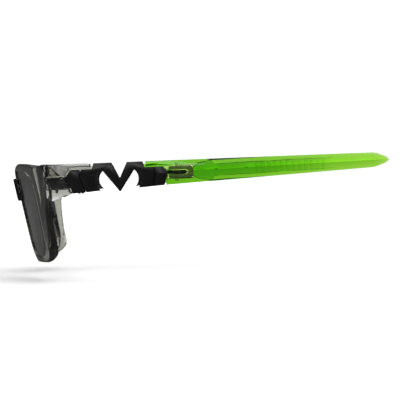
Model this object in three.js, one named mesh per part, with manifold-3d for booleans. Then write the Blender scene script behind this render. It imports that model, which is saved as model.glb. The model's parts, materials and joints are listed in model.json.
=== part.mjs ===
// Wraparound sports spectacles: two smoke rims with lenses, a black bridge, and on each side a hinge,
// a zig-zag flex link and a straight green temple.
// Millimetres. +X is the wearer's left, +Y runs from the front to the temple tips, +Z is up.
import * as THREE from 'three';
import { mergeVertices } from 'three/addons/utils/BufferGeometryUtils.js';
import Module from 'manifold-3d';

const wasm = await Module();
wasm.setup();

// ---------------------------------------------------------------- driving dimensions
const GAP = 0.3; // clearance between pieces that fit together
const FINE = 7; // curve segments on large outlines
const COARSE = 3; // curve segments on small corners
const ROUND_SIDES = 24; // sides of a pin or barrel

// The front: both rims lie on one upright cylinder that leans forward at the top.
const FACE_RADIUS = 170;
const FACE_LEAN = THREE.MathUtils.degToRad(12.9);
const FACE_Y = -48.1; // front surface of the bridge line, behind which the arms start
const RIM_DEPTH = 3.8; // measured along the cylinder's radius
const LENS_SET_BACK = 0.6;
const LENS_THICK = 1.5;
const LENS_LIP = 1; // how far a lens reaches into its groove
const BOSS_PROUD = 1.4; // bridge boss in front of the rims
const BAND_REACH = 0.46; // half angle of the face cylinder that is used, in radians
const BAND_STEPS = 36;
const BAND_Z = [-60, 30]; // tall enough for any piece of the front
const THROUGH_Y = [-80, 40]; // front-view cuts run right through the object
const BRIDGE_TENON = { half: 9.6, depth: [1.4, 3.2], height: [-8, -4] };
const PAD = { x: 10.2, y: 3.6, z: -17, flare: 0.33, splay: -0.3 };
const FLANGE_THICK = 1.8; // plate behind the rim that a nose pad plugs into

// The arms: link and temple share one tilted line that rises towards the ear.
const ARM_TILT = THREE.MathUtils.degToRad(2.3);
const ARM_Y = -1.3;
const ARM_Z = 6.4; // the top edge of the link at its middle
const HALF_WIDTH = 73; // outermost ridge of an arm
const ARM_THICK = 5;
const ARM_INSIDE = HALF_WIDTH - ARM_THICK;
const RIDGE_V = -5.5; // height of the ridge along the outside of an arm

// Hinge: a vertical screw just inside the arm's inner face.
const HINGE_U = -16;
const HINGE_X = ARM_INSIDE - 0.4;
const BARREL_R = 1.7;
const BARREL_ROOM = BARREL_R + GAP;
const BARREL_BACK = 0.2; // how far a knuckle's tab starts in from the side of its barrel
const SCREW_R = 0.75;
const SCREW_HOLE_R = 0.85;
const SCREW_HEAD = { low: 1.25, high: 1.45, v: [-12.6, -11.7] };
const SCREW_HEAD_ROOM_R = SCREW_HEAD.high + GAP;
const KNUCKLES = { top: [-5.2, -3.1], middle: [-9, -5.5], bottom: [-11.4, -9.3] };

// Flex link and its end pieces, as heights (v) under the arm's top edge and places (u) along it.
const SHELF_V = -2.4; // step that the tongues of rim and temple lie over
const TONGUE_V = SHELF_V + GAP;
const SHOULDER_U = 10.3;
const NOTCH_HALF = 3.2;
const NOTCH_V = -6.2;
const HOLE = { u: 4.4, v: -7, r: 5.5 };
const HOLE_PEAK = { u: 7.3, v: -2.4 };
const POINT = { half: 0.6, v: -11.7, r: 0.7 };
const ZIG_SHIFT = 0.5; // the V sits a little behind the middle of the link
const FRONT_FOOT_V = -12.4; // underside of the arm at the front block
const REAR_FOOT_V = -10.3; // and at the start of the temple
const CAP_END_U = 20.7;

// Temple.
const TEMPLE_TIP_U = 115.5;
const TEMPLE_TAPER_U = 108.7; // where the blunt tip begins
const TIP_FOOT_V = -6.3;
const TIP_V = -3.2;
const TIP_THICK = 3;
const TEMPLE_BOW = 5; // how far the tip curves in towards the ear
const BOW_START_U = 35;
// Raised panel inside the temple: a bullet-shaped head (full half height) and a narrower band behind it,
// which sinks back into the temple's inner face from PANEL.fade to PANEL.end.
const PANEL = { proud: 1.5, slope: 0.3, start: 31, full: 39.5, waist: 40.5, fade: 60, end: 92 };
const PANEL_HALF = { head: 3.3, band: 1.85 };
// The inner edges are chamfered a little in front, most where the panel's head ends, and least at the tip.
const CHAMFER = { front: 0.4, most: 1.1, tip: 0.2, from: 37, to: 39, fade: 43, end: 72 };
// Grip ribs on that panel.
const RIB = { first: 58, pitch: 2.6, count: 12, width: 1.1, proud: 0.25, v: [-5.6, -2.6] };

// Blade joint between link and temple.
const BLADE = { low: -5.5, high: -4.3, end: 29.2 };
const SLEEVE = { low: -7.2, high: -2.5, start: 21.4, end: 31.2 };
const SLEEVE_X = [69.2, 71.4];
const LOCK_PIN_R = 0.4;
const LOCK_HOLE_R = 0.6;
const REAR_LOCK_U = 24.5;
const FRONT_LOCK_U = -26;
const FRONT_LOCK_V = [-11.8, -8.2];
const REAR_LOCK_V = [-8.2, -1.6];
const TENON = { low: -10.2, high: -5.2, end: -30 };
const TENON_X = [68.9, 70.7];

// ---------------------------------------------------------------- materials
function plastic(color, roughness, opacity = 1) {
  const transparent = opacity < 1;
  return new THREE.MeshStandardMaterial({ color, roughness, metalness: 0, opacity, transparent });
}
const smoke = plastic(0x6b6c64, 0.15, 0.6);
const lensTint = plastic(0x3c3a3e, 0.08, 0.65);
const black = plastic(0x161616, 0.45);
const green = plastic(0x6fce12, 0.12, 0.75);
const greySleeve = plastic(0x6f7460, 0.3, 0.9);
const rubber = plastic(0x1d1d1d, 0.8);
const steel = new THREE.MeshStandardMaterial({ color: 0x9a9ea3, roughness: 0.3, metalness: 1 });

// ---------------------------------------------------------------- solids
// A closed geometry as a manifold-3d solid.
function solidOf(geometry) {
  const flat = geometry.index ? geometry.toNonIndexed() : geometry;
  const bare = new THREE.BufferGeometry().setAttribute('position', flat.getAttribute('position'));
  const merged = mergeVertices(bare, 1e-4);
  const vertProperties = merged.getAttribute('position').array;
  const triVerts = new Uint32Array(merged.index.array);
  return new wasm.Manifold(new wasm.Mesh({ numProp: 3, vertProperties, triVerts }));
}

function geometryOf(solid) {
  const mesh = solid.getMesh();
  const geometry = new THREE.BufferGeometry();
  geometry.setAttribute('position', new THREE.BufferAttribute(mesh.vertProperties, 3));
  geometry.setIndex(new THREE.BufferAttribute(mesh.triVerts, 1));
  const faceted = geometry.toNonIndexed();
  faceted.computeVertexNormals();
  return faceted;
}

// Closed outline through corners [x, y, radius]; a radius of 0 leaves the corner sharp.
function outline(corners) {
  const shape = new THREE.Shape();
  corners.forEach(([x, y, radius = 0], i) => {
    const here = new THREE.Vector2(x, y);
    const [bx, by] = corners[(i + corners.length - 1) % corners.length];
    const [ax, ay] = corners[(i + 1) % corners.length];
    const back = new THREE.Vector2(bx, by).sub(here).normalize();
    const ahead = new THREE.Vector2(ax, ay).sub(here).normalize();
    const go = i === 0 ? 'moveTo' : 'lineTo';
    if (!radius) {
      shape[go](x, y);
      return;
    }
    const half = Math.acos(THREE.MathUtils.clamp(back.dot(ahead), -1, 1)) / 2;
    const start = back.clone().multiplyScalar(radius / Math.tan(half)).add(here);
    const end = ahead.clone().multiplyScalar(radius / Math.tan(half)).add(here);
    const centre = back.clone().add(ahead).normalize().multiplyScalar(radius / Math.sin(half)).add(here);
    shape[go](start.x, start.y);
    const from = start.sub(centre).angle();
    const to = end.sub(centre).angle();
    shape.absarc(centre.x, centre.y, radius, from, to, back.cross(ahead) > 0);
  });
  shape.closePath();
  return shape;
}

// The same corners moved outwards by a distance, for a convex outline that runs anticlockwise.
function grown(corners, distance) {
  return corners.map(([x, y, radius = 0], i) => {
    const here = new THREE.Vector2(x, y);
    const [bx, by] = corners[(i + corners.length - 1) % corners.length];
    const [ax, ay] = corners[(i + 1) % corners.length];
    const back = new THREE.Vector2(bx, by).sub(here).normalize();
    const ahead = new THREE.Vector2(ax, ay).sub(here).normalize();
    const half = Math.acos(THREE.MathUtils.clamp(back.dot(ahead), -1, 1)) / 2;
    const reach = back.add(ahead).normalize().multiplyScalar(distance / Math.sin(half));
    return [x - reach.x, y - reach.y, radius + distance];
  });
}

function extruded(shape, depth, segments) {
  return new THREE.ExtrudeGeometry(shape, { depth, bevelEnabled: false, curveSegments: segments });
}

// Prism of a side-view outline (u along Y, v along Z) from x0 to x1.
function sidePrism(shape, x0, x1, segments = COARSE) {
  const turn = new THREE.Matrix4().makeBasis(
    new THREE.Vector3(0, 1, 0), new THREE.Vector3(0, 0, 1), new THREE.Vector3(1, 0, 0));
  return solidOf(extruded(shape, x1 - x0, segments).applyMatrix4(turn).translate(x0, 0, 0));
}

// Prism of a front-view outline (x, z) from y0 back to y1.
function frontPrism(shape, y0, y1, segments = FINE) {
  return solidOf(extruded(shape, y1 - y0, segments).rotateX(Math.PI / 2).translate(0, y1, 0));
}

// Prism of a plan outline (x, y) from z0 up to z1.
function planPrism(shape, z0, z1, segments = FINE) {
  return solidOf(extruded(shape, z1 - z0, segments).translate(0, 0, z0));
}

function box([x0, x1], [y0, y1], [z0, z1]) {
  const geometry = new THREE.BoxGeometry(x1 - x0, y1 - y0, z1 - z0);
  return solidOf(geometry.translate((x0 + x1) / 2, (y0 + y1) / 2, (z0 + z1) / 2));
}

// Upright round post of radius r around (x, y).
function post(x, y, [z0, z1], r, topR = r) {
  const geometry = new THREE.CylinderGeometry(topR, r, z1 - z0, ROUND_SIDES);
  return solidOf(geometry.rotateX(Math.PI / 2).translate(x, y, (z0 + z1) / 2));
}

// Skin through equal rings of [x, y, z] points, closed with a flat fan at each end.
function loft(rings) {
  const count = rings[0].length;
  const positions = rings.flat(2);
  const index = [];
  for (let ring = 0; ring < rings.length - 1; ring++) {
    for (let i = 0; i < count; i++) {
      const a = ring * count + i;
      const b = ring * count + ((i + 1) % count);
      index.push(a, b + count, b, a, a + count, b + count);
    }
  }
  const last = (rings.length - 1) * count;
  for (let i = 1; i < count - 1; i++) {
    index.push(0, i, i + 1, last, last + i + 1, last + i);
  }
  const geometry = new THREE.BufferGeometry();
  geometry.setAttribute('position', new THREE.Float32BufferAttribute(positions, 3));
  geometry.setIndex(index);
  return solidOf(geometry);
}

// ---------------------------------------------------------------- frames
function placedGroup(y, z, turn) {
  const group = new THREE.Group();
  group.position.set(0, y, z);
  group.rotation.x = turn;
  group.updateMatrix();
  return group;
}
const faceFrame = placedGroup(FACE_Y, 0, FACE_LEAN).matrix;
const armFrame = placedGroup(ARM_Y, ARM_Z, ARM_TILT).matrix;

function moved(solid, matrix) {
  return solid.transform(matrix.elements);
}

// ---------------------------------------------------------------- the front
// Band of the leaning face cylinder between two depths behind its surface; a negative depth is in front.
function faceBand(front, back) {
  const middle = -Math.PI / 2;
  const shape = new THREE.Shape();
  shape.absarc(0, FACE_RADIUS, FACE_RADIUS - front, middle - BAND_REACH, middle + BAND_REACH, false);
  shape.absarc(0, FACE_RADIUS, FACE_RADIUS - back, middle + BAND_REACH, middle - BAND_REACH, true);
  return moved(planPrism(shape, ...BAND_Z, BAND_STEPS), faceFrame);
}

// Front views of the left rim and its opening: x outwards from the nose, height above the bridge line.
const RIM_CORNERS = [
  [7, 6.3, 3], [8.5, -12, 25], [15.5, -29.5, 14], [30, -37.5, 18], [57.3, -36.4, 6.5],
  [57.9, -24, 30], [60.4, -13, 20],
  [65.2, -6.5, 3], [68, -0.8, 2], [65.5, 3.2, 3], [57, 5.2, 8], [40, 5.9, 20],
];
// Side view of the room that the rims fill: rounded at the upper front and at the lower back.
const RIM_PROFILE = [[-49.2, 6.2, 4.6], [-39.2, -37.3, 1.5], [-26.2, -36.7, 7], [-26.2, 6.2]];
const NASAL_CORNERS = [[42, 2.3, 4], [12.6, 2.6, 4], [15, -12, 20], [20.5, -27.5, 12], [29, -34.2, 14]];
const LENS_CORNERS = [...NASAL_CORNERS, [44.5, -34.9, 8], [49, -28.5, 12], [52.8, -5.6, 6], [49.3, 1, 4]];
const LIP_CORNERS = [
  [43, -33.4], [50.5, -33.4, 4], [54.4, -28.5, 5], [56.6, -6, 6], [53.4, 0.5, 3], [43, 0.6],
];

// Corner piece that turns back from the rim to the hinge.
function endpiece() {
  const side = outline([
    [-36, -4], [-33.5, 0.3, 3], [-11.6, 0], [-11.3, TONGUE_V], [-20, TONGUE_V, 0.5], [-22.6, RIDGE_V],
    [-19.7, FRONT_FOOT_V - 0.2], [-22.6, -13, 3], [-27.6, -15.3, 2], [-29.4, -24, 8], [-28.8, -34],
    [-36, -34],
  ]);
  const plan = outline([
    [57, -39.3], [66.2, -34.6, 2], [72, -31.2, 3], [HALF_WIDTH, -24, 4], [HALF_WIDTH, -10], [ARM_INSIDE, -10],
    [ARM_INSIDE, -29.8, 1], [57, -30.6],
  ]);
  const section = outline([
    [50, 2], [HALF_WIDTH - 1.1, 2], [HALF_WIDTH, RIDGE_V], [HALF_WIDTH - 1.3, -12.4], [65, -18, 6],
    [60.6, -34], [50, -34],
  ]);
  const corner = sidePrism(side, 50, 80, FINE).intersect(planPrism(plan, -40, 10));
  const turned = moved(corner.intersect(frontPrism(section, -40, 0)), armFrame);
  return turned.subtract(faceBand(-20, 0));
}

function tenonRoom() {
  const [inner, outer] = TENON_X;
  const height = [TENON.low - GAP, TENON.high + GAP];
  const room = box([inner - GAP, outer + GAP], [TENON.end - GAP, -18], height);
  const pinHole = post((inner + outer) / 2, FRONT_LOCK_U, [-12, TENON.low], LOCK_HOLE_R);
  return moved(room.add(pinHole), armFrame);
}

// Flange behind the nasal side of the rim that carries the nose pad.
function padPlaced(solid) {
  const matrix = faceFrame.clone()
    .multiply(new THREE.Matrix4().makeTranslation(PAD.x, PAD.y, PAD.z))
    .multiply(new THREE.Matrix4().makeRotationZ(PAD.splay))
    .multiply(new THREE.Matrix4().makeRotationY(PAD.flare));
  return moved(solid, matrix);
}

function padFlange() {
  const side = outline([[-2, -5.5, 1], [6.5, -4.5, 2.5], [6.5, 4.5, 2.5], [-2, 5.5, 1]]);
  return padPlaced(sidePrism(side, 0, FLANGE_THICK).subtract(box([-1, 3], [2.4, 4.8], [-1.2, 1.2])));
}

// The opening, with a facet on the temple side that slopes down from the lip to the lens.
function rimOpening() {
  const facet = planPrism(outline([[42, -20], [57.4, -20], [57.4, 10], [42, 7]]), ...BAND_Z);
  const slope = frontPrism(outline(LIP_CORNERS), ...THROUGH_Y).intersect(moved(facet, faceFrame));
  return frontPrism(outline(LENS_CORNERS), ...THROUGH_Y).intersect(faceBand(-20, 12)).add(slope);
}

function rimSolid() {
  const profile = sidePrism(outline(RIM_PROFILE), 0, HALF_WIDTH, FINE);
  const body = frontPrism(outline(RIM_CORNERS), ...THROUGH_Y)
    .intersect(faceBand(0, RIM_DEPTH))
    .intersect(profile);
  const groove = frontPrism(outline(grown(LENS_CORNERS, LENS_LIP + GAP)), ...THROUGH_Y)
    .intersect(faceBand(LENS_SET_BACK - GAP, LENS_SET_BACK + LENS_THICK + GAP));
  return body
    .add(endpiece())
    .subtract(rimOpening())
    .add(padFlange().subtract(groove))
    .subtract(groove)
    .subtract(tenonRoom())
    .subtract(moved(bridgeTenon(GAP), faceFrame));
}

function lensSolid() {
  return frontPrism(outline(grown(LENS_CORNERS, LENS_LIP)), ...THROUGH_Y)
    .intersect(faceBand(LENS_SET_BACK, LENS_SET_BACK + LENS_THICK));
}

function nosePadSolid() {
  const side = outline([[1.9, -7, 2.5], [9.8, -6, 3.5], [9.8, 6, 3.5], [1.9, 7, 2.5]]);
  const cushion = sidePrism(side, -2.6, -GAP, FINE);
  const peg = box([-GAP - 0.2, 1.6], [2.7, 4.5], [-0.9, 0.9]);
  return padPlaced(cushion.add(peg));
}

// Flat bar whose two ends plug into the rims, or with room round it the pockets that take them.
function bridgeTenon(room = 0) {
  const { half, depth: [front, back], height: [low, high] } = BRIDGE_TENON;
  return box([-half - room, half + room], [front - room, back + room], [low - room, high + room]);
}

// Black bridge between the rims: a curved bar, a proud boss and a tenon into each rim.
function bridgeSolid() {
  const bar = outline([[-8.1, -11.9, 1], [0, -8.6, 7], [8.1, -11.9, 1], [7.1, -0.3, 1.5], [-7.1, -0.3, 1.5]]);
  const boss = outline([
    [1, -11.6], [-1, -11.6, 0.6], [-BOSS_PROUD, -9.6, 0.8], [-BOSS_PROUD, -0.6, 0.6], [1, -0.3],
  ]);
  const span = moved(frontPrism(bar, -20, 20), faceFrame).intersect(faceBand(0, RIM_DEPTH));
  const front = sidePrism(boss, -5.4, 5.4).intersect(frontPrism(bar, -20, 20));
  return span.add(moved(front.add(bridgeTenon()), faceFrame));
}

// ---------------------------------------------------------------- the arms
// Section shared by the black pieces of an arm: flat inside, two facets meeting at a ridge outside.
function armSection(u0, u1) {
  const section = outline([
    [ARM_INSIDE - 1, 2], [HALF_WIDTH - 1.1, 2], [HALF_WIDTH, RIDGE_V], [HALF_WIDTH - 1.3, -14],
    [ARM_INSIDE - 1, -14],
  ]);
  return frontPrism(section, u0, u1);
}

function knuckle([low, high], tabU0, tabU1) {
  const tab = box([HINGE_X - BARREL_R + BARREL_BACK, ARM_INSIDE + 1], [tabU0, tabU1], [low, high]);
  return post(HINGE_X, HINGE_U, [low, high], BARREL_R).add(tab);
}

function knuckleRoom([low, high]) {
  return post(HINGE_X, HINGE_U, [low - GAP, high + GAP], BARREL_ROOM);
}

function screwHole() {
  return post(HINGE_X, HINGE_U, [-13, -1], SCREW_HOLE_R);
}

// Black block that plugs into the rim and carries the outer knuckles.
function frontBlockSolid() {
  const side = outline([
    [HINGE_U, SHELF_V], [-20, SHELF_V, 0.5], [-22.2, RIDGE_V], [-19.3, FRONT_FOOT_V],
    [-13.9, FRONT_FOOT_V + 0.3], [HINGE_U - 0.6, RIDGE_V],
  ]);
  const body = sidePrism(side, ARM_INSIDE, HALF_WIDTH).intersect(armSection(-30, 0));
  const tenonSide = outline([
    [-20.5, TENON.low], [-20.5, TENON.high], [TENON.end + 1, TENON.high], [TENON.end, -5.8],
    [TENON.end + 1, -6.6], [TENON.end + 1.6, TENON.low, 0.6],
  ]);
  return body
    .add(sidePrism(tenonSide, ...TENON_X))
    .add(knuckle(KNUCKLES.top, -18.5, HINGE_U))
    .add(knuckle(KNUCKLES.bottom, -18.5, HINGE_U))
    .subtract(knuckleRoom(KNUCKLES.middle))
    .subtract(screwHole())
    .subtract(post(HINGE_X, HINGE_U, [-14, KNUCKLES.bottom[0]], SCREW_HEAD_ROOM_R))
    .subtract(post((TENON_X[0] + TENON_X[1]) / 2, FRONT_LOCK_U, [-12, -8], LOCK_HOLE_R));
}

// Zig-zag link: two shoulders joined by a V, with a rear cap and the blade that enters the temple.
function flexLinkShape() {
  const shape = new THREE.Shape();
  const peak = Math.atan2(HOLE_PEAK.v - HOLE.v, HOLE_PEAK.u - HOLE.u);
  const rearFoot = -Math.acos((8.3 - HOLE.u) / HOLE.r);
  const frontFoot = -Math.acos((7.5 - HOLE.u) / HOLE.r);
  shape.moveTo(HINGE_U + 0.3, SHELF_V);
  shape.lineTo(HINGE_U - 0.3, RIDGE_V);
  shape.lineTo(-13.6, FRONT_FOOT_V + 0.3);
  shape.lineTo(-HOLE.u - HOLE.r * Math.cos(frontFoot), FRONT_FOOT_V + 0.8);
  shape.absarc(-HOLE.u, HOLE.v, HOLE.r, Math.PI - frontFoot, Math.PI - peak, true);
  shape.lineTo(ZIG_SHIFT - POINT.half, POINT.v);
  shape.absarc(ZIG_SHIFT, POINT.v + 0.2, POINT.r, Math.PI * 1.2, Math.PI * 1.8, false);
  shape.lineTo(ZIG_SHIFT + POINT.half, POINT.v);
  shape.lineTo(HOLE_PEAK.u, HOLE_PEAK.v);
  shape.absarc(HOLE.u, HOLE.v, HOLE.r, peak, rearFoot, true);
  shape.lineTo(HOLE.u + HOLE.r * Math.cos(rearFoot) + 0.1, REAR_FOOT_V - 0.7);
  shape.lineTo(CAP_END_U - 1.5, REAR_FOOT_V);
  shape.lineTo(CAP_END_U, RIDGE_V + 0.4);
  shape.lineTo(CAP_END_U - 1.9, SHELF_V);
  shape.lineTo(SHOULDER_U + 0.8, SHELF_V);
  shape.lineTo(SHOULDER_U, 0);
  shape.lineTo(ZIG_SHIFT + NOTCH_HALF, 0);
  shape.absarc(ZIG_SHIFT, NOTCH_V + 0.3, 0.4, 0.2, Math.PI - 0.2, true);
  shape.lineTo(ZIG_SHIFT - NOTCH_HALF, 0);
  shape.lineTo(-SHOULDER_U, 0);
  shape.lineTo(-SHOULDER_U - 0.8, SHELF_V);
  shape.closePath();
  return shape;
}

// Hole for the lock pin that holds blade, sleeve and temple together.
function rearLockHole(range) {
  return post((SLEEVE_X[0] + SLEEVE_X[1]) / 2, REAR_LOCK_U, range, LOCK_HOLE_R);
}

function flexLinkSolid() {
  const body = sidePrism(flexLinkShape(), ARM_INSIDE, HALF_WIDTH, FINE).intersect(armSection(-30, 30));
  const middle = (BLADE.low + BLADE.high) / 2;
  const bladeSide = outline([
    [CAP_END_U - 2, BLADE.low], [BLADE.end - 1.2, BLADE.low], [BLADE.end, middle],
    [BLADE.end - 1.2, BLADE.high], [CAP_END_U - 2, BLADE.high],
  ]);
  const groove = outline([
    [14.2, REAR_FOOT_V - 1], [15, -5.2], [14.2, -1], [14.8, -1], [15.7, -5.2], [14.9, REAR_FOOT_V - 1],
  ]);
  return body
    .subtract(sidePrism(groove, HALF_WIDTH - 1.8, HALF_WIDTH + 1))
    .add(sidePrism(bladeSide, SLEEVE_X[0] + GAP, SLEEVE_X[1] - GAP))
    .add(knuckle(KNUCKLES.middle, HINGE_U, -13.4))
    .subtract(knuckleRoom(KNUCKLES.top))
    .subtract(knuckleRoom(KNUCKLES.bottom))
    .subtract(screwHole())
    .subtract(rearLockHole([BLADE.low - 1, BLADE.high + 1]));
}

function hingeScrewSolid() {
  const shank = post(HINGE_X, HINGE_U, [-11.5, -3.3], SCREW_R);
  const head = post(HINGE_X, HINGE_U, SCREW_HEAD.v, SCREW_HEAD.low, SCREW_HEAD.high);
  const neck = post(HINGE_X, HINGE_U, [-11.8, -11.4], SCREW_R);
  const slot = box([HINGE_X - 2, HINGE_X + 2], [HINGE_U - 0.2, HINGE_U + 0.2], [-13, -12.2]);
  return shank.add(head).add(neck).subtract(slot);
}

function lockPinSolid([x0, x1], u, range) {
  return post((x0 + x1) / 2, u, range, LOCK_PIN_R);
}

// Fork-shaped sleeve inside the temple that grips the link's blade.
function sleeveSolid() {
  const middle = (BLADE.low + BLADE.high) / 2;
  const side = outline([
    [SLEEVE.start, SLEEVE.low, 0.4], [SLEEVE.end, SLEEVE.low, 1], [SLEEVE.end, middle - 1.2, 0],
    [SLEEVE.end - 0.4, middle, 0], [SLEEVE.end, middle + 1.2, 0], [SLEEVE.end, SLEEVE.high, 1],
    [SLEEVE.start, SLEEVE.high, 0.4],
  ]);
  const slot = outline([
    [SLEEVE.start - 2, BLADE.low - GAP], [BLADE.end - 0.8, BLADE.low - GAP], [BLADE.end + 0.8, middle],
    [BLADE.end - 0.8, BLADE.high + GAP], [SLEEVE.start - 2, BLADE.high + GAP],
  ]);
  return sidePrism(side, ...SLEEVE_X)
    .subtract(sidePrism(slot, SLEEVE_X[0] - 1, SLEEVE_X[1] + 1))
    .subtract(rearLockHole([-9, 0]));
}

// How far the temple has curved inwards at a place along it.
function bowAt(u) {
  const share = Math.max(0, (u - BOW_START_U) / (TEMPLE_TIP_U - BOW_START_U));
  return TEMPLE_BOW * share * share;
}

// Values along the temple between its start and the shoulder of the pointed tip.
function along(u, atStart, atTip) {
  return THREE.MathUtils.mapLinear(Math.min(u, TEMPLE_TAPER_U), SHOULDER_U, TEMPLE_TAPER_U, atStart, atTip);
}

function chamferAt(u) {
  const widening = THREE.MathUtils.smoothstep(u, CHAMFER.from, CHAMFER.to);
  const fading = THREE.MathUtils.clamp((u - CHAMFER.fade) / (CHAMFER.end - CHAMFER.fade), 0, 1);
  const before = THREE.MathUtils.lerp(CHAMFER.front, CHAMFER.most, widening);
  return THREE.MathUtils.lerp(before, CHAMFER.tip, fading);
}

function templeRing(u, narrow = 0) {
  const top = THREE.MathUtils.lerp(0, TIP_V, narrow);
  const foot = THREE.MathUtils.lerp(along(u, REAR_FOOT_V - 0.4, TIP_FOOT_V), TIP_V, narrow);
  const ridge = THREE.MathUtils.lerp(along(u, RIDGE_V + 0.4, -3.2), TIP_V, narrow);
  const thick = along(u, ARM_THICK, TIP_THICK) * (1 - 0.45 * narrow);
  const chamfer = chamferAt(u) * (1 - 0.8 * narrow);
  const inside = ARM_INSIDE - bowAt(u);
  const outside = inside + thick;
  const facet = along(u, 1.1, 0.8) * (1 - 0.5 * narrow);
  return [
    [inside, u, top - chamfer], [inside, u, foot + chamfer], [inside + chamfer, u, foot],
    [outside - facet, u, foot], [outside, u, ridge], [outside - facet, u, top], [inside + chamfer, u, top],
  ];
}

// Size of the panel's head at a place along it, as a share of its full size: a quarter ellipse.
function panelSwell(u) {
  const share = Math.min(1, (u - PANEL.start) / (PANEL.full - PANEL.start));
  return Math.sqrt(1 - (1 - share) ** 2);
}

function panelHalf(u) {
  const waist = THREE.MathUtils.clamp((u - PANEL.full) / (PANEL.waist - PANEL.full), 0, 1);
  return THREE.MathUtils.lerp(PANEL_HALF.head * panelSwell(u), PANEL_HALF.band, waist);
}

// How far the panel stands out from the temple's inner face.
function panelProud(u) {
  const sinking = Math.max(0, u - PANEL.fade) / (PANEL.end - PANEL.fade);
  return PANEL.proud * Math.min(1, 2 * panelSwell(u)) * (1 - sinking);
}

function panelRing(u) {
  const middle = along(u, -5.3, -3.3);
  const half = panelHalf(u);
  const reach = half + PANEL.slope * panelSwell(u);
  const inside = ARM_INSIDE - bowAt(u);
  const face = inside - panelProud(u);
  const root = inside + 0.3;
  return [
    [face, u, middle + half], [face, u, middle - half],
    [root, u, middle - reach], [root, u, middle + reach],
  ];
}

// Plain upright ribs on the panel, a grip for the fingers.
function gripRibs() {
  const [low, high] = RIB.v;
  return Array.from({ length: RIB.count }, (_, i) => {
    const u = RIB.first + i * RIB.pitch;
    const face = ARM_INSIDE - bowAt(u) - panelProud(u);
    return box([face - RIB.proud, face + 0.4], [u, u + RIB.width], [low, high]);
  }).reduce((all, rib) => all.add(rib));
}

function templeSolid() {
  const barPlaces = [10, 20, 30, CHAMFER.from, CHAMFER.to, CHAMFER.fade, 50, 60, CHAMFER.end, 80, 90, 100,
    TEMPLE_TAPER_U];
  const bar = barPlaces.map((u) => templeRing(u));
  const point = [[111.2, 0.22], [113.8, 0.52], [115, 0.76], [TEMPLE_TIP_U, 0.9]];
  const tip = point.map(([u, narrow]) => templeRing(u, narrow));
  const panelPlaces = [31.1, 31.6, 32.6, 34, 36, 38, PANEL.full, PANEL.waist, CHAMFER.fade, 50, 60,
    CHAMFER.end, 80, 90, PANEL.end - 0.1];
  const panel = panelPlaces.map(panelRing);
  const side = outline([
    [SHOULDER_U + 1.2, 1], [120, 1], [120, -20], [CAP_END_U - 0.2, -20], [CAP_END_U - 0.8, REAR_FOOT_V - 0.3],
    [CAP_END_U + 0.5, RIDGE_V + 0.4], [CAP_END_U - 1.6, TONGUE_V, 0.4], [SHOULDER_U + 1.2, TONGUE_V],
  ].reverse());
  const room = [SLEEVE_X[0] - GAP, SLEEVE_X[1] + GAP];
  return loft([...bar, ...tip])
    .add(loft(panel))
    .add(gripRibs())
    .intersect(sidePrism(side, ARM_INSIDE - 20, HALF_WIDTH + 5))
    .subtract(box(room, [CAP_END_U - 2, SLEEVE.end + GAP], [SLEEVE.low - GAP, SLEEVE.high + GAP]))
    .subtract(rearLockHole([REAR_LOCK_V[0] - GAP, REAR_LOCK_V[1] + GAP]));
}

// ---------------------------------------------------------------- assembly
function piece(name, solid, material) {
  const mesh = new THREE.Mesh(geometryOf(solid), material);
  mesh.name = name;
  return mesh;
}

function mirrored(side) {
  const group = new THREE.Group();
  group.scale.x = side === 'left' ? 1 : -1;
  return group;
}

function frontHalf(side) {
  const group = mirrored(side);
  group.add(
    piece(`${side}_rim`, rimSolid(), smoke),
    piece(`${side}_lens`, lensSolid(), lensTint),
    piece(`${side}_nose_pad`, nosePadSolid(), rubber),
  );
  return group;
}

function armHalf(side) {
  const group = mirrored(side);
  group.add(
    piece(`${side}_hinge_block`, frontBlockSolid(), black),
    piece(`${side}_block_lock_pin`, lockPinSolid(TENON_X, FRONT_LOCK_U, FRONT_LOCK_V), steel),
    piece(`${side}_hinge_screw`, hingeScrewSolid(), steel),
    piece(`${side}_flex_link`, flexLinkSolid(), black),
    piece(`${side}_temple_sleeve`, sleeveSolid(), greySleeve),
    piece(`${side}_temple_lock_pin`, lockPinSolid(SLEEVE_X, REAR_LOCK_U, REAR_LOCK_V), green),
    piece(`${side}_temple`, templeSolid(), green),
  );
  return group;
}

const front = new THREE.Group();
const arms = placedGroup(ARM_Y, ARM_Z, ARM_TILT);
for (const side of ['left', 'right']) {
  front.add(frontHalf(side));
  arms.add(armHalf(side));
}
front.add(piece('bridge', bridgeSolid(), black));

// The frame's origin is under the middle of the spectacles, at the height of the rims' lowest point.
const spectacles = new THREE.Group();
spectacles.add(front, arms);
const extent = new THREE.Box3().setFromObject(spectacles);
const centre = extent.getCenter(new THREE.Vector3());
spectacles.position.set(0, -centre.y, -extent.min.z);

export default spectacles;
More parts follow.
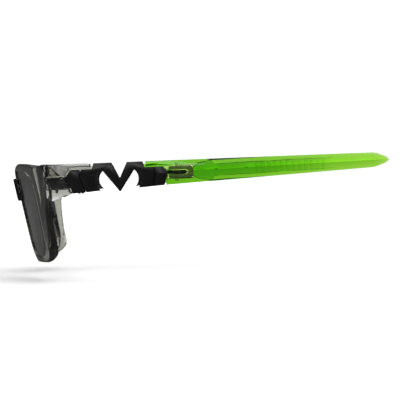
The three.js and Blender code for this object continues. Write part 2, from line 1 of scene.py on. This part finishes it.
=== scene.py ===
import bpy
import json
import math
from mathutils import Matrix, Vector

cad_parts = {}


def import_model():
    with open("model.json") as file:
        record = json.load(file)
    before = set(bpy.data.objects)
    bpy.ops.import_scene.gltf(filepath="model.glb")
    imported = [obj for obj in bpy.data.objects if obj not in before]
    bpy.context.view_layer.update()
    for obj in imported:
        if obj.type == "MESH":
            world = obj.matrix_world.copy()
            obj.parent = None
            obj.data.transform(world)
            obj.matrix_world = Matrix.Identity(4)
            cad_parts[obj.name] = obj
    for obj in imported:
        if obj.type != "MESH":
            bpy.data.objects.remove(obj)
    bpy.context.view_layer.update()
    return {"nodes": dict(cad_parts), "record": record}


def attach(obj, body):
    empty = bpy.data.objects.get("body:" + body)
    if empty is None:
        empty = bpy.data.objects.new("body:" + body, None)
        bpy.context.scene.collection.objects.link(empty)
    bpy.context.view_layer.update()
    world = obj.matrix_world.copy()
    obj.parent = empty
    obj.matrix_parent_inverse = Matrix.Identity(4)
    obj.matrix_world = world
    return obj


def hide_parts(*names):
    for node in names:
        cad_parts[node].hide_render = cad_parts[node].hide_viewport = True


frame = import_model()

NODES = frame["nodes"]
BODIES = frame["record"]["behaviour"]["bodies"]
SIDES = ("left", "right")

# ------------------------------------------------------------------ materials

# See-through plastics.
PLASTIC_IOR = 1.52
COAT_ROUGHNESS = 0.04
RIPPLE_SCALE = 90
RIPPLE_HEIGHT = 0.00001
RIPPLE_STRENGTH = 0.03

# Where on a noise pattern, which runs from 0 to 1, a value starts and stops changing.
NOISE_SPAN = (0.3, 0.7)


class Tree:
    """A node tree, with short calls for adding and joining nodes."""

    def __init__(self, tree):
        self.tree = tree

    def add(self, kind, **settings):
        node = self.tree.nodes.new(kind)
        for key, value in settings.items():
            setattr(node, key, value)
        return node

    def join(self, source, target):
        self.tree.links.new(source, target)

    def set_or_join(self, value, target):
        if isinstance(value, bpy.types.NodeSocket):
            self.join(value, target)
        else:
            target.default_value = value

    def mix(self, share, a, b):
        node = self.add("ShaderNodeMapRange")
        self.join(share, node.inputs["Value"])
        self.set_or_join(a, node.inputs["To Min"])
        self.set_or_join(b, node.inputs["To Max"])
        return node.outputs["Result"]

    def place(self):
        return self.add("ShaderNodeTexCoord").outputs["Object"]

    def noise(self, scale, detail, roughness=0.5, stretch=None):
        """Noise over the object's own coordinates, with about scale features to the metre."""
        node = self.add("ShaderNodeTexNoise")
        node.inputs["Scale"].default_value = scale
        node.inputs["Detail"].default_value = detail
        node.inputs["Roughness"].default_value = roughness
        source = self.place()
        if stretch:
            mapping = self.add("ShaderNodeMapping")
            mapping.inputs["Scale"].default_value = stretch
            self.join(source, mapping.inputs["Vector"])
            source = mapping.outputs[0]
        self.join(source, node.inputs["Vector"])
        return node.outputs["Fac"]

    def span(self, source, low, high, between=NOISE_SPAN):
        node = self.add("ShaderNodeMapRange")
        node.inputs["From Min"].default_value = between[0]
        node.inputs["From Max"].default_value = between[1]
        node.inputs["To Min"].default_value = low
        node.inputs["To Max"].default_value = high
        self.join(source, node.inputs["Value"])
        return node.outputs["Result"]

    def bounced(self):
        """1 for rays that were ever mirrored or scattered, 0 for those that come straight or refracted."""
        path = self.add("ShaderNodeLightPath")
        total = self.add("ShaderNodeMath", operation="ADD", use_clamp=True)
        self.join(path.outputs["Glossy Depth"], total.inputs[0])
        self.join(path.outputs["Diffuse Depth"], total.inputs[1])
        return total.outputs[0]


class Surface(Tree):
    """A material with one Principled shader."""

    def __init__(self, name):
        self.material = bpy.data.materials.new(name)
        self.material.use_nodes = True
        super().__init__(self.material.node_tree)
        self.tree.nodes.clear()
        self.output = self.add("ShaderNodeOutputMaterial")
        self.shader = self.add("ShaderNodeBsdfPrincipled")
        self.join(self.shader.outputs[0], self.output.inputs["Surface"])

    def put(self, **values):
        for key, value in values.items():
            self.shader.inputs[key.replace("_", " ")].default_value = value

    def tones(self, pattern, dark, light, between=NOISE_SPAN):
        node = self.add("ShaderNodeValToRGB")
        for element, at, tone in zip(node.color_ramp.elements, between, (dark, light)):
            element.position = at
            element.color = (*tone, 1)
        self.join(pattern, node.inputs["Fac"])
        self.join(node.outputs["Color"], self.shader.inputs["Base Color"])

    def roughness(self, pattern, low, high):
        self.join(self.span(pattern, low, high), self.shader.inputs["Roughness"])

    def relief(self, pattern, height, strength):
        node = self.add("ShaderNodeBump")
        node.inputs["Distance"].default_value = height
        node.inputs["Strength"].default_value = strength
        self.join(pattern, node.inputs["Height"])
        self.join(node.outputs[0], self.shader.inputs["Normal"])

    def absorb(self, color, density):
        node = self.add("ShaderNodeVolumeAbsorption")
        node.inputs["Color"].default_value = (*color, 1)
        node.inputs["Density"].default_value = density
        self.join(node.outputs[0], self.output.inputs["Volume"])


def clear_plastic(name, color, density, low, high, coat=0.0, clear=1.0):
    """See-through moulding that darkens with thickness, with a faint ripple in its polish."""
    m = Surface(name)
    m.put(Base_Color=(1, 1, 1, 1), Transmission_Weight=clear, IOR=PLASTIC_IOR)
    m.put(Coat_Weight=coat, Coat_Roughness=COAT_ROUGHNESS)
    m.roughness(m.noise(scale=900, detail=3), low, high)
    m.relief(m.noise(RIPPLE_SCALE, detail=1), RIPPLE_HEIGHT, RIPPLE_STRENGTH)
    m.absorb(color, density)
    return m.material


def milky_plastic():
    """Cloudy grey plastic of the sleeves, a little see-through."""
    m = Surface("grey_sleeve")
    m.put(Transmission_Weight=0.2, IOR=1.5)
    m.tones(m.noise(scale=400, detail=3), dark=(0.54, 0.58, 0.5), light=(0.64, 0.68, 0.6))
    m.roughness(m.noise(scale=900, detail=3), low=0.28, high=0.4)
    m.relief(m.noise(scale=700, detail=2), height=0.00001, strength=0.2)
    return m.material


def black_plastic():
    """Satin black moulding with a fine spark-eroded grain."""
    m = Surface("black_plastic")
    m.tones(m.noise(scale=700, detail=4), dark=(0.0035, 0.0035, 0.004), light=(0.005, 0.005, 0.005))
    m.roughness(m.noise(scale=1600, detail=4), low=0.26, high=0.31)
    m.relief(m.noise(scale=9000, detail=3, roughness=0.7), height=0.000005, strength=0.25)
    return m.material


def rubber():
    """Matte elastomer of the nose pads."""
    m = Surface("soft_rubber")
    pattern = m.noise(scale=300, detail=4)
    m.tones(pattern, dark=(0.016, 0.016, 0.017), light=(0.032, 0.032, 0.031), between=(0.3, 0.75))
    m.roughness(m.noise(scale=900, detail=4), low=0.62, high=0.82)
    m.relief(m.noise(scale=6000, detail=3, roughness=0.7), height=0.00002, strength=0.6)
    return m.material


def steel():
    """Turned stainless steel, with rings round an upright pin."""
    m = Surface("pin_steel")
    m.put(Metallic=1.0)
    m.tones(m.noise(scale=800, detail=3), dark=(0.44, 0.45, 0.47), light=(0.58, 0.59, 0.61))
    m.roughness(m.noise(scale=2500, detail=2, stretch=(0.1, 0.1, 1.0)), low=0.22, high=0.36)
    rings = m.noise(scale=6000, detail=2, stretch=(0.05, 0.05, 1.0))
    m.relief(rings, height=0.000004, strength=0.4)
    return m.material


SMOKE = clear_plastic("smoke_plastic", (0.48, 0.48, 0.42), 405, 0.05, 0.09, coat=1.0)
# The lens is 6% opaque in place of a thin mirror coating, which is not modelled.
LENS = clear_plastic("tinted_lens", (0.35, 0.32, 0.36), 2000, 0.03, 0.06, coat=1.0, clear=0.94)
GREEN = clear_plastic("green_plastic", (0.577, 0.838, 0.0), 1220, 0.04, 0.07)
# Lighter than the real sleeve probably is, because it is only seen through green.
GREY = milky_plastic()
BLACK = black_plastic()
RUBBER = rubber()
STEEL = steel()


# ------------------------------------------------------------------ pieces

WELD_DISTANCE = 0.000002
FLAT_ANGLE = math.radians(0.6)
EDGE_ANGLE = math.radians(24)
EDGE_SEGMENTS = 2
RIM_VOXEL = 0.0003
RIM_PASSES = 8
RIM_FACTOR = 0.5


def dress(node, material, edge_width):
    """Gives a carried-over CAD node its material, smooth curves and rounded edges."""
    obj = NODES[node]
    obj.data.materials.clear()
    obj.data.materials.append(material)
    obj.data.polygons.foreach_set("use_smooth", [True] * len(obj.data.polygons))
    weld = obj.modifiers.new("weld", "WELD")
    weld.merge_threshold = WELD_DISTANCE
    flat = obj.modifiers.new("flat", "DECIMATE")
    flat.decimate_type = "DISSOLVE"
    flat.angle_limit = FLAT_ANGLE
    edge = obj.modifiers.new("edge", "BEVEL")
    edge.width = edge_width
    edge.segments = EDGE_SEGMENTS
    edge.limit_method = "ANGLE"
    edge.angle_limit = EDGE_ANGLE
    edge.harden_normals = True


def body_of(node):
    return next(body for body, nodes in BODIES.items() if node in nodes)


def softened(node, material):
    """A thick moulded piece: the CAD node's shape with generously rounded edges, in the node's place."""
    piece = bpy.data.objects.new(f"{node}_moulding", NODES[node].data.copy())
    bpy.context.scene.collection.objects.link(piece)
    piece.data.materials.clear()
    piece.data.materials.append(material)
    skin = piece.modifiers.new("skin", "REMESH")
    skin.mode = "VOXEL"
    skin.voxel_size = RIM_VOXEL
    skin.use_smooth_shade = True
    round_off = piece.modifiers.new("round_off", "SMOOTH")
    round_off.factor = RIM_FACTOR
    round_off.iterations = RIM_PASSES
    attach(piece, body_of(node))
    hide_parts(node)


# The material of each part that comes in a left and a right, and the width of its rounded edges.
PARTS = {
    "lens": (LENS, 0.00012),
    "temple": (GREEN, 0.00025),
    "temple_sleeve": (GREY, 0.00012),
    "nose_pad": (RUBBER, 0.0006),
    "block_lock_pin": (STEEL, 0.00005),
    "hinge_screw": (STEEL, 0.00006),
    "temple_lock_pin": (GREEN, 0.00005),
    "hinge_block": (BLACK, 0.00015),
    "flex_link": (BLACK, 0.00018),
}
BRIDGE_EDGE = 0.0002

for side in SIDES:
    for part, (material, edge_width) in PARTS.items():
        dress(f"{side}_{part}", material, edge_width)
    softened(f"{side}_rim", SMOKE)
dress("bridge", BLACK, BRIDGE_EDGE)


# ------------------------------------------------------------------ stage, light and camera

FLOOR_SIZE = 40
FLOOR_Z = -0.0076  # a little below the rims' lowest edge
FLOOR_WHITE = 0.8
FLOOR_ROUGHNESS = 0.8
SHEEN_WHITE = 0.05
SHEEN_ROUGHNESS = 0.12

# The floor's own glow is weak near the object, where the overhead light falls too, and grows outwards.
NEAR_GLOW = 0.15
FAR_GLOW = 1.0
GLOW_DISTANCES = (0.1, 0.7)

# What mirrored and scattered rays see of the floor.
MIRRORED_WHITE = 0.06
MIRRORED_GLOW = 0.03

# The camera sees an even backdrop. Mirrored and scattered rays see a room that brightens overhead, between
# these heights of a ray's direction.
BACKDROP = 1.05
ROOM_LOW = 0.06
ROOM_HIGH = 0.9
ROOM_HEIGHTS = (0.4, 0.95)

# Name, place, what it points at, its two sides, and watts.
LIGHTS = (
    ("overhead", (0.0, 0.0, 0.8), (0.0, 0.0, 0.0), (1.2, 1.0), 6),
    ("strip", (0.45, -0.75, 0.1), (0.06, -0.07, 0.02), (0.3, 0.7), 1.6),
    ("softbox", (0.72, -0.3, 0.34), (0.07, -0.03, 0.04), (0.6, 0.2), 0.75),
)

# The camera stands level with the temples, straight out from the left link, and turns to centre the picture.
EYE = Vector((0.782, -0.032646, 0.037173))
LOOK_AT = Vector((0.0, 0.003887, 0.026768))
LENS_MM = 152.19
SENSOR_MM = 36
CLIP_START = 0.01


def facing(direction):
    return direction.to_track_quat("-Z", "Y").to_euler()


def floor():
    bpy.ops.mesh.primitive_plane_add(size=FLOOR_SIZE, location=(0, 0, FLOOR_Z))
    plane = bpy.context.object
    plane.name = "floor"
    m = Surface("floor_white")
    m.put(Roughness=FLOOR_ROUGHNESS, Specular_IOR_Level=0.0, Emission_Color=(1, 1, 1, 1))
    bounced = m.bounced()
    distance = m.add("ShaderNodeVectorMath", operation="LENGTH")
    m.join(m.place(), distance.inputs[0])
    glow = m.span(distance.outputs["Value"], NEAR_GLOW, FAR_GLOW, GLOW_DISTANCES)
    m.join(m.mix(bounced, glow, MIRRORED_GLOW), m.shader.inputs["Emission Strength"])
    m.join(m.mix(bounced, FLOOR_WHITE, MIRRORED_WHITE), m.shader.inputs["Base Color"])
    sheen = m.add("ShaderNodeBsdfGlossy")
    sheen.inputs["Color"].default_value = (SHEEN_WHITE, SHEEN_WHITE, SHEEN_WHITE, 1)
    sheen.inputs["Roughness"].default_value = SHEEN_ROUGHNESS
    both = m.add("ShaderNodeAddShader")
    m.join(m.shader.outputs[0], both.inputs[0])
    m.join(sheen.outputs[0], both.inputs[1])
    m.join(both.outputs[0], m.output.inputs["Surface"])
    plane.data.materials.append(m.material)


def world():
    """White behind the object; in reflections a dim room that is brighter overhead."""
    scene_world = bpy.data.worlds.new("studio")
    scene_world.use_nodes = True
    m = Tree(scene_world.node_tree)
    direction = m.add("ShaderNodeSeparateXYZ")
    m.join(m.add("ShaderNodeTexCoord").outputs["Generated"], direction.inputs[0])
    room = m.span(direction.outputs["Z"], ROOM_LOW, ROOM_HIGH, ROOM_HEIGHTS)
    background = scene_world.node_tree.nodes["Background"]
    background.inputs["Color"].default_value = (1, 1, 1, 1)
    m.join(m.mix(m.bounced(), BACKDROP, room), background.inputs["Strength"])
    bpy.context.scene.world = scene_world


def area(name, place, target, size, power):
    light = bpy.data.lights.new(name, "AREA")
    light.shape = "RECTANGLE"
    light.size, light.size_y = size
    light.energy = power
    obj = bpy.data.objects.new(name, light)
    obj.location = place
    obj.rotation_euler = facing(Vector(target) - Vector(place))
    bpy.context.scene.collection.objects.link(obj)


def camera():
    data = bpy.data.cameras.new("camera")
    data.sensor_width = SENSOR_MM
    data.lens = LENS_MM
    data.clip_start = CLIP_START
    obj = bpy.data.objects.new("camera", data)
    obj.location = EYE
    obj.rotation_euler = facing(LOOK_AT - EYE)
    bpy.context.scene.collection.objects.link(obj)
    bpy.context.scene.camera = obj


floor()
world()
for light in LIGHTS:
    area(*light)
camera()
bpy.context.scene.view_settings.view_transform = "Standard"
